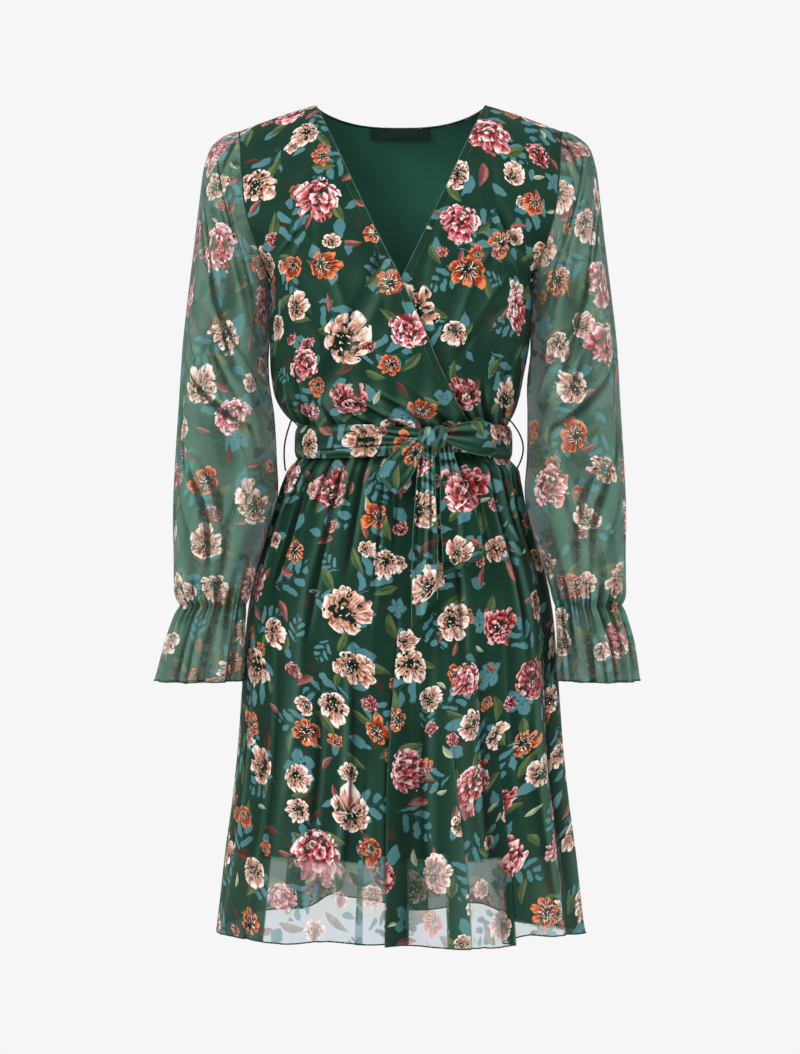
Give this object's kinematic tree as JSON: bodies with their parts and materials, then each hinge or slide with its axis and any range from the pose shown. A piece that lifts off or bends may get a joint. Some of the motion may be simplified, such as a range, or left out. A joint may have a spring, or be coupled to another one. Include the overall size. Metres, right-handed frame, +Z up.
{
  "type": "wrap dress",
  "caption": "Knee-length floral chiffon wrap dress with long sheer frilled sleeves, lined body, gathered skirt and a bow-tied belt, in its worn hollow form.",
  "frame": {"origin": "midway between the shoulders, level with the points where the shoulder seams meet the neck", "axes": "+Z up, -Y the way the front faces, +X the wearer's left"},
  "size_m": [0.5475, 0.3316, 0.9517],
  "materials": {
    "printed_chiffon": "sheer matte chiffon, deep green with a floral print",
    "lining": "plain smooth green lining",
    "black_trim": "matte black-green thread and woven tape"
  },
  "bodies": {
    "root": {"bodice_front_right": "printed_chiffon", "bodice_front_left": "printed_chiffon", "bodice_back": "printed_chiffon", "skirt_front": "printed_chiffon", "skirt_back": "printed_chiffon", "sleeve_right": "printed_chiffon", "sleeve_left": "printed_chiffon", "lining_front_right": "lining", "lining_front_left": "lining", "lining_back": "lining", "lining_skirt_front": "lining", "lining_skirt_back": "lining", "belt_band": "printed_chiffon", "belt_knot": "printed_chiffon", "belt_loop_left": "printed_chiffon", "belt_loop_right": "printed_chiffon", "belt_tail_left": "printed_chiffon", "belt_tail_right": "printed_chiffon", "belt_carrier_left": "black_trim", "belt_carrier_right": "black_trim", "neck_label": "black_trim"}
  },
  "joints": []
}
